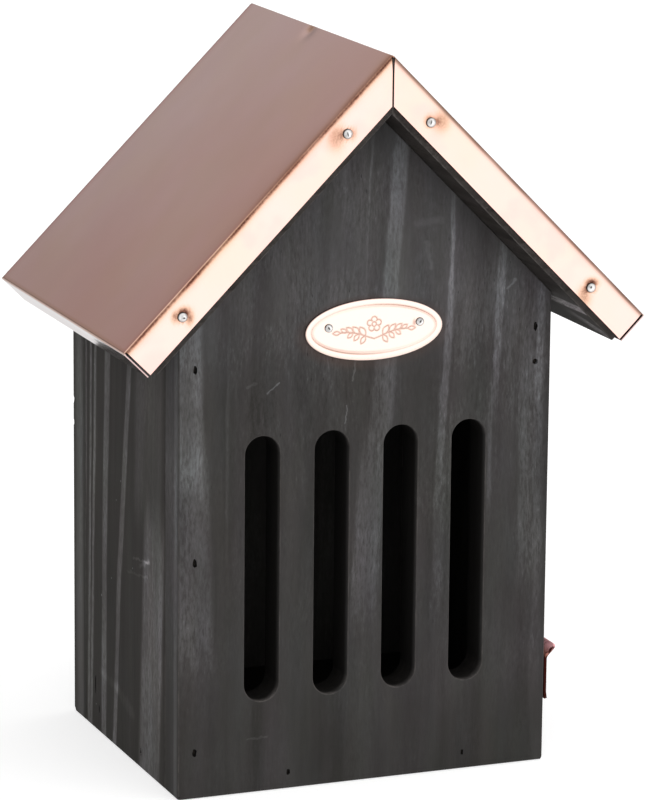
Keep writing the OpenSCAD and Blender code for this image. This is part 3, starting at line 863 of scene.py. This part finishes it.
def flange_nails(material):
    bm = bmesh.new()
    profile = head_profile(1.6, 1.17, 0.75, 15.0)
    for n, ((side, row), s) in enumerate(sorted(NAIL_S.items())):
        for back in (False, True):
            p = slope_point(side, s, NAIL_DEEP, ROOF_Y if back else -ROOF_Y)
            tilt = (1.6 * sin(2.3 * n + back), 1.6 * cos(1.7 * n + 2 * back))
            spin = 1.9 * n if back else 0.25 * (n - 1)
            lathe(bm, profile, turned(p, back, tilt, spin), mark=NAIL_MARKS[n])
    new_piece("flange_nail_heads", mesh_from(bm, "flange_nail_heads"), "flange_nails", material)


def plaque_nails(material):
    bm = bmesh.new()
    for side in (-1, 1):
        p = Vector((PLAQUE_X + side * PLAQUE_NAIL_X, FRONT_Y - PLAQUE_T, PLAQUE_NAIL_Z))
        place = turned(p, False, (1.0 * side, 0.8), 0.5 * side)
        lathe(bm, head_profile(1.4, 0.9, 0.6, 9.0), place, mark=(-0.15, 0.15, 0.34, 0.72), rim=0.8)
    new_piece("plaque_nail_heads", mesh_from(bm, "plaque_nail_heads"), "plaque_nails", material)


def with_recess(mesh, name, places, size):
    """mesh less a box at each place, two of which make the cross in a screw's head."""
    cross = bmesh.new()
    for place in places:
        bmesh.ops.create_cube(cross, size=1.0, matrix=place @ Matrix.Diagonal((*(MM * k for k in size), 1.0)))
    return cut(mesh, cross, name)


def crossed(middle, turn, axis):
    """Two frames at middle, a quarter turn apart about the axis."""
    turns = (Matrix.Rotation(radians(turn + more), 4, axis) for more in (0, 90))
    return [Matrix.Translation(middle) @ spun for spun in turns]


def hanger_screws(material):
    bm = bmesh.new()
    places = []
    for side in (-1, 1):
        at = Vector((side * HANGER_SCREW_X, HANGER_FACE_Y, HANGER_SCREW_Z))
        lathe(bm, head_profile(2.5, 1.2, 1.2, 10.2), turned(at, True))
        places += crossed((at + Vector((0, 1.05, 0))) * MM, 20.0 * side, "Y")
    mesh = with_recess(mesh_from(bm, "hanger_screw_heads"), "hanger_screw_heads", places, (3.0, 1.3, 0.62))
    new_piece("hanger_screw_heads", mesh, "hanger_screws", material)


def turn_button(material):
    bm = clean_copy("turn_button")
    tips = [e for e in bm.edges if e.is_convex and 0.8 * MM < e.calc_length() < 1.3 * MM
            and abs(e.verts[0].co.y - e.verts[1].co.y) < 1e-6
            and max(v.co.z for v in e.verts) > 39 * MM]
    bevel(bm, tips, 1.6, 5)
    bends = [e for e in bm.edges if len(e.link_faces) == 2 and e.calc_length() > 11 * MM
             and abs(e.verts[0].co.y - e.verts[1].co.y) > 11 * MM
             and min(f.calc_area() for f in e.link_faces) > 20 * MM * MM
             and e.calc_face_angle(0.0) > radians(4)]
    bevel(bm, bends, 0.7, 4)
    ease_edges(bm, 0.14, least=2.0)
    layer = bm.verts.layers.float.new("handled")
    for v in bm.verts:
        v[layer] = min(1.0, max(0.0, (v.co.z / MM - 35.7) / 3.8))
    mesh = mesh_from(bm, "turn_button_strip", 40)
    level_normals(new_piece("turn_button_strip", mesh, "turn_button", material, "button"))


def button_screw(material):
    solid = mesh_from(clean_copy("button_screw"), "button_screw_head")
    co = np.array([v.co for v in solid.vertices])
    low, high = co.min(0), co.max(0)
    middle = Vector((high[0], (high[1] + low[1]) / 2, (high[2] + low[2]) / 2))
    mesh = with_recess(solid, "button_screw_head", crossed(middle, 25.0, "X"), (1.1, 2.0, 0.5))
    new_piece("button_screw_head", mesh, "button_screw", material)


def hanger_strap(material):
    bm = clean_copy("hanger_plate")
    ease_edges(bm, 0.2, least=2.0)
    mesh = mesh_from(bm, "hanger_strap", 40)
    level_normals(new_piece("hanger_strap", mesh, "hanger_plate", material))


# ---------------------------------------------------------------- plaque

def sprig_lines():
    """Two leafy twigs that meet under a small round flower, as lines in millimetres."""
    lines = []

    def arc(x, z, r, start, sweep, count):
        lines.append([(x + r * cos(a), z + r * sin(a))
                      for a in (start + sweep * i / count for i in range(count + 1))])

    for side in (-1, 1):
        stem = [(side * (1.6 + 10.2 * f), -2.6 + 2.6 * sin(0.5 * pi * f) - 0.5 * f ** 2)
                for f in (k / 14 for k in range(15))]
        lines.append(stem)
        for n, k in enumerate((2, 5, 8, 11)):
            x, z = stem[k]
            for up in (1, -1):
                if up < 0 and n == 3:
                    continue
                long = (3.6, 3.3, 2.9, 2.3)[n] * (1.0 if up > 0 else 0.82)
                a = radians(58 - 9 * n) * up
                ax, az = cos(a) * side, sin(a)
                for bulge in (1, -1):
                    leaf = []
                    for i in range(9):
                        f = i / 8
                        w = bulge * 0.26 * long * sin(pi * f) ** 0.9
                        leaf.append((x + ax * long * f - az * w, z + az * long * f + ax * w))
                    lines.append(leaf)
        x, z = stem[-1]
        for bulge in (0.62, -0.62):
            lines.append([(x + side * 2.6 * i / 8, z + bulge * sin(pi * i / 8)) for i in range(9)])
    for n in range(5):
        a = radians(90 + 72 * n)
        arc(1.55 * cos(a), 1.7 + 1.55 * sin(a), 0.95, a - radians(125), radians(250), 10)
    arc(0.0, 1.7, 0.75, 0.0, 2 * pi, 12)
    lines.append([(-1.6, -2.6), (0.0, -3.1), (1.6, -2.6)])
    return lines


def line_gap(points, lines):
    """Distance of each point to the nearest line."""
    best = np.full(len(points), 1e9)
    for line in lines:
        for a, b in zip(line, line[1:]):
            a, b = np.array(a), np.array(b)
            along = np.clip(((points - a) @ (b - a)) / max(1e-9, (b - a) @ (b - a)), 0, 1)
            best = np.minimum(best, np.linalg.norm(points - a - along[:, None] * (b - a), axis=1))
    return best


def plaque(material):
    wide, tall = 23.9, 10.15
    middle = Vector((PLAQUE_X - 0.05, FRONT_Y, 152.55))
    around, rings = 288, 84
    rho = np.linspace(0.0, 1.0, rings + 1)[1:]
    angle = np.arange(around) * 2 * pi / around
    x, z = (rho[:, None] * np.cos(angle)).ravel(), (rho[:, None] * np.sin(angle)).ravel()
    flat = np.stack([x * wide, z * tall], 1)
    # Distance in from the rim, to first order
    f = np.hypot(x, z)
    inset = (1 - f) * np.maximum(f, 1e-9) / np.maximum(np.hypot(x / wide, z / tall), 1e-9)
    # Two rounds of the border, worn at the upper left and lower right, and the sprig
    uneven = 0.66 + 0.34 * np.cos(2 * (np.arctan2(z, x) - radians(225)))
    border = np.maximum(np.exp(-((inset - 2.1) / 0.22) ** 2), 0.42 * np.exp(-((inset - 2.6) / 0.36) ** 2))
    lines = 0.8 * np.exp(-(line_gap(flat, sprig_lines()) / 0.23) ** 2)
    engraving = np.maximum(uneven * border, lines)
    rust = 0.75 * np.exp(-((flat[:, 0] - 14.0) / 0.55) ** 2 - ((flat[:, 1] - 1.3) / 1.1) ** 2)
    rim = np.clip(inset / 0.45, 0.0, 1.0)
    out = PLAQUE_T - 0.17 * engraving - 0.14 * (1 - np.sqrt(np.clip(1 - (1 - rim) ** 2, 0, 1)))
    out += 0.05 * np.exp(-((inset - 1.1) / 0.8) ** 2) - 0.05

    bm = bmesh.new()
    layer = bm.verts.layers.float.new("engraving")
    rim_layer = bm.verts.layers.float.new("rim_dark")

    def point(px, pz, high, engraved, dark):
        v = bm.verts.new((middle + Vector((px, -float(high), pz))) * MM)
        v[layer] = float(engraved)
        v[rim_layer] = dark
        return v

    loops = [[point(0, 0, PLAQUE_T - 0.05, 0, 0)]]
    for k, ((px, pz), o, e, gap) in enumerate(zip(flat, out, np.maximum(engraving, rust), inset)):
        if k % around == 0:
            loops.append([])
        upper_left = min(1.0, max(0.2, 0.5 + 0.8 * pz / tall - 0.4 * px / wide))
        loops[-1].append(point(px, pz, o, e, max(0.0, 1.0 - float(gap) / 0.36) * upper_left))
    loops.append([point(px, pz, 0.0, 0, 1) for px, pz in flat[-around:]])
    for one, two in zip(loops, loops[1:]):
        join_rings(bm, one, two)
    bm.faces.new(loops[-1])
    new_piece("plaque_plate", mesh_from(bm, "plaque_plate", 40), "plaque", material)


# ---------------------------------------------------------------- stage

def stage_plane(name, size, matrix, material):
    w, h = size[0] / 2, size[1] / 2
    mesh = bpy.data.meshes.new(name)
    mesh.from_pydata([(-w, -h, 0), (w, -h, 0), (w, h, 0), (-w, h, 0)], [], [(0, 1, 2, 3)])
    mesh.materials.append(material)
    plane = linked(name, mesh)
    plane.matrix_world = matrix
    return plane


def facing(place, target):
    """A plane's matrix at place with its +Z towards target."""
    turn = (Vector(target) - Vector(place)).to_track_quat("Z", "Y")
    return Matrix.Translation(place) @ turn.to_matrix().to_4x4()


def direct_rays(t):
    """1 for what the camera sees itself, in a gloss or through glass, and 0 for the light on the part."""
    rays = t.node("ShaderNodeLightPath").outputs
    seen = t.math("MAXIMUM", rays["Is Camera Ray"], rays["Is Glossy Ray"])
    return t.math("MAXIMUM", seen, rays["Is Transmission Ray"])


def floor_material():
    t = material_tree("pale_floor")
    painted_dark_tint = t.filled("ShaderNodeBsdfDiffuse", Color=(0.62, 0.62, 0.62, 1.0))[0]
    both = t.node("ShaderNodeAddShader", painted_dark_tint, t.emission(t.mul(direct_rays(t), 0.58)))
    return t.surface(both.outputs[0])


def card_material():
    """Brighter towards its top."""
    t = material_tree("grey_card")
    height = t.split(t.place(1.0))[1]
    return t.surface(t.emission(t.madd(height, 0.335, 0.482), (1.0, 0.985, 0.99)))


def build_stage():
    stage_plane("floor", (14.0, 14.0), Matrix.Translation((0.0, 0.0, -0.0002)), floor_material())
    light = material_tree("softbox_low")
    box = stage_plane(
        "low_softbox", (0.62, 0.36),
        Matrix.Translation((0.22, -0.50, 0.185)) @ Matrix.Rotation(radians(-90), 4, "X"),
        light.surface(light.emission(1.42)))
    card = stage_plane(
        "rear_card", (1.3, 0.95), facing((-0.28, 1.30, 0.72), (0.0, 0.0, 0.2)), card_material())
    for piece in (box, card):
        piece.visible_camera = False

    world = bpy.data.worlds.new("studio")
    bpy.context.scene.world = world
    t = Tree(world)
    # White where it is seen, and brighter from the front left as light
    toward = t.vmath("DOT_PRODUCT", t.node("ShaderNodeTexCoord").outputs["Generated"], (0.33, -0.93, 0.17))
    soft = t.step(toward, -0.5, 0.8, 0.42, 1.55)
    bright = t.madd(direct_rays(t), t.sub(1.0, soft), soft)
    back = t.filled("ShaderNodeBackground", Color=(1.0, 1.0, 1.0, 1.0), Strength=bright)
    t.filled("ShaderNodeOutputWorld", Surface=back[0])
    bpy.context.scene.view_settings.view_transform = "Standard"


def build_camera():
    right = Vector((0.93001839, -0.36740466, 0.0089227))
    up = Vector((0.07507457, 0.21369229, 0.97401202))
    forward = Vector((0.35976327, 0.90517922, -0.22632051))
    data = bpy.data.cameras.new("camera")
    data.lens = 196.1
    data.sensor_width = 36.0
    data.clip_start = 0.05
    data.clip_end = 50.0
    camera = linked("camera", data)
    turn = Matrix((right, up, -forward)).transposed().to_4x4()
    camera.matrix_world = Matrix.Translation((-0.522158, -1.319823, 0.448986)) @ turn
    bpy.context.scene.camera = camera


# ---------------------------------------------------------------- the part

build_camera()
build_stage()

# Sunk brads: place across and up, and the torn hole's half sizes in the front
brads = [
    ((-59.4, 15.6), (0.72, 1.0, 1.4)), ((-59.4, 79.55), (0.72, 1.0, 1.5)), ((-59.4, 143.5), (0.72, 1.0, 1.5)),
    ((59.4, 149.4), (0.70, 1.0, 1.45)), ((-26.6, 5.6), (0.62, 0.8, 0.85)), ((35.6, 5.6), (0.45, 0.5, 0.55)),
]
hole_shade = hole_shade_wood()

# Pale streaks in the front, partly grain and partly a painted sheen
front_streaks = [
    (-58.9, -60.6, 6.0, 0.22, 45.0, 118.0), (-61.8, -62.6, 5.6, 0.40, 106.0, 174.0),
    (7.4, 11.2, 2.7, 0.27, 160.0, 218.0), (4.4, 7.4, 3.9, 0.20, 112.0, 160.0),
    (-0.6, 2.4, 4.6, 0.24, 58.0, 112.0), (28.8, 29.6, 0.8, 0.32, 158.0, 194.0),
    (26.0, 28.8, 1.3, 0.24, 105.0, 158.0), (25.6, 26.2, 2.0, 0.15, 58.0, 105.0),
    (44.9, 47.4, 1.4, 0.24, 124.0, 180.0), (43.9, 43.7, 0.7, 0.20, 88.0, 122.0),
    (60.4, 61.8, 1.3, 0.22, 124.0, 168.0), (59.4, 58.2, 4.4, 0.15, 62.0, 145.0),
    (46.0, 46.0, 17.0, 0.06, 30.0, 170.0), (-0.2, 1.0, 0.35, 0.26, 196.0, 216.0),
    (-1.0, -0.2, 0.3, 0.12, 164.0, 196.0), (-48.6, -47.6, 0.5, 0.14, 84.0, 150.0),
]
front_scratches = [
    (-34.6, 133.8, -30.7, 137.3, 0.35, 0.42), (-41.7, 136.4, -38.6, 137.6, 0.5, 0.20),
    (-5.4, 136.0, -4.2, 141.9, 0.35, 0.30), (-6.9, 128.0, -7.7, 122.1, 0.35, 0.40),
    (17.0, 186.4, 25.1, 186.9, 1.3, 0.12), (20.0, 179.8, 21.8, 171.7, 0.9, 0.16),
    (49.2, 162.7, 51.8, 165.6, 0.5, 0.26), (-41.0, 18.3, -34.0, 18.6, 0.4, 0.20),
]
# Pale streaks in the left side, partly grain and partly a painted sheen
left_streaks = [
    (48.3, 48.3, 1.0, 0.46, 78.0, 175.0), (46.2, 42.0, 1.15, 0.58, -5.0, 175.0),
    (43.6, 36.4, 1.25, 0.60, -5.0, 175.0), (30.2, 28.6, 2.4, 0.66, -5.0, 75.0),
    (28.6, 23.4, 2.8, 0.60, 75.0, 175.0), (19.8, 14.0, 1.9, 0.62, -5.0, 58.0),
    (14.0, 2.6, 2.2, 0.58, 58.0, 140.0), (-15.5, -22.5, 10.0, 0.59, -5.0, 88.0),
    (-15.0, -18.0, 14.0, 0.30, 88.0, 175.0), (-27.0, -28.5, 2.2, 0.12, -5.0, 78.0),
]
left_scratches = [
    (0.0, 70.6, -17.0, 72.9, 0.5, 0.34), (5.2, 64.5, -15.0, 67.3, 0.5, 0.22),
    (-8.0, 69.6, -16.0, 73.4, 0.9, 0.32), (33.2, 22.3, 15.1, 20.6, 1.6, 0.16),
    (15.1, 20.6, -0.6, 16.2, 2.2, 0.18),
]

# The front board is painted darker at its foot and lighter on its gable, as light and shade. Its pale streaks
# are partly a painted sheen, and a reddish reflection of the plaque is painted round the plaque.
board("front_board", "front_panel", wood(
    "wood_front", "XYZ", 1.0, (12.0, 70.0), 7.0, 0.22, 0.41, front_streaks, front_scratches,
    painted_light_rises=[(8.0, 45.0, -0.06, 0.0), (130.0, 165.0, 0.0, 0.215)], wave=0.6, lively=0.95,
    plaque_reflection=(PLAQUE_X, 151.5, 24.0, 11.0), rim=[(-42.2, 2.0, 0.30), (-36.0, 2.8, -0.08)], calm=42.0),
    holes=[((x, FRONT_Y, z), radii) for (x, z), radii in brads],
    chips=[((-65.0, FRONT_Y, 0.2), (0.9, 0.9, 1.2)), ((65.1, FRONT_Y, 0.0), (0.8, 0.8, 1.0))])
# The back board is painted darker at its foot, as shade
board("back_board", "back_panel", wood(
    "wood_back", "XYZ", 2.0, (-20.0, -60.0), 6.0, 0.5, 0.42,
    [(-40.0, -38.0, 6.0, 0.22, 20.0, 140.0), (25.0, 27.0, 5.0, 0.16, 40.0, 190.0)],
    painted_light_rises=[(8.0, 45.0, -0.08, 0.0)], rim=[(55.4, 4.2, 0.34), (50.7, 0.8, -0.14)], tint=(1.04, 1.0, 0.955)),
    holes=[((x, BACK_Y, z), (0.7, 0.9, 1.35)) for (x, z), _ in brads],
    chips=[((-65.2, 62.1, -0.2), (1.9, 1.9, 1.9)), ((-65.25, 61.6, 111.0), (0.6, 1.5, 1.6)),
           ((-65.25, 61.6, 103.0), (0.55, 1.5, 1.2)), ((65.2, 62.1, 0.0), (1.1, 1.1, 1.4))])
# The left board is painted lighter towards its top, as light, and its pale streaks are partly a painted sheen
board("left_board", "left_side_panel", wood(
    "wood_left", "YXZ", 3.0, (150.0, 20.0), 5.0, 0.25, 0.19, left_streaks, left_scratches,
    painted_light_rises=[(85.0, 150.0, 0.0, 0.06)], wave=0.7, lively=0.5, tint=(1.05, 0.982, 0.945)),
    holes=[((-HALF_W, -8.2, 5.6), (0.85, 0.5, 1.3)), ((-HALF_W, 38.8, 15.8), (0.6, 0.45, 3.3)),
           ((-HALF_W, 34.9, 8.0), (0.4, 0.35, 1.3))])
board("rail_board", "side_rail", wood("wood_rail", "YXZ", 4.0, (40.0, 150.0), 5.0))
board("door_board", "side_door", wood(
    "wood_door", "YXZ", 5.0, (10.0, -40.0), 5.5, 0.6, 0.36,
    [(-18.0, -20.0, 4.0, 0.24, -5.0, 120.0), (12.0, 13.0, 3.0, 0.26, 30.0, 150.0),
     (33.0, 31.0, 5.0, 0.18, -5.0, 150.0)], ends=(1.1, 1.5)), body="door")
board("base_board", "floor_board", wood("wood_base", "YZX", 6.0, (0.0, 60.0), 5.0))
board("roof_board_left", "left_roof_board", wood(
    "wood_roof_left", "XZY", 7.0, (-40.0, 260.0), 5.0, 0.6, 0.34, tint=(1.09, 0.975, 0.94), wear=1.0))
# The right roof board's pale streaks under the eave are partly a painted glint
board("roof_board_right", "right_roof_board", wood(
    "wood_roof_right", "XZY", 8.0, (40.0, 260.0), 5.0, 0.6, 0.31,
    [(68.2, 68.8, 1.6, 1.12, -75.0, -30.0), (79.6, 73.4, 1.7, 0.9, -75.0, -46.0)],
    lively=1.5, tint=(1.09, 0.975, 0.94), wear=1.0, ends=(62.3, 62.9, 1.0, 0.0)))

bright_steel = steel("steel_bright", (0.95, 0.94, 0.93), amount=0.2)
zinc = steel("steel_zinc", (0.56, 0.565, 0.57), (0.28, 0.28, 0.28), 0.5, 0.34)
dark_steel = steel("steel_dark", (0.022, 0.019, 0.017), (0.008, 0.006, 0.005), 0.8, 0.62)

# The eave flanges get copper darkened as painted shade
copper_roof(copper(), copper("copper_eaves_painted_dark", (0.64, 0.70, 0.75)))
flange_nails(bright_steel)
plaque(engraved_copper())
plaque_nails(bright_steel)
turn_button(dark_copper())
button_screw(steel("steel_screw", (0.60, 0.58, 0.56), amount=0.5))
hanger_strap(zinc)
hanger_screws(zinc)
for name in ("front_brads", "back_brads", "side_brads", "roof_brads", "door_pivot_nails"):
    nodes[name].data.materials[0] = dark_steel
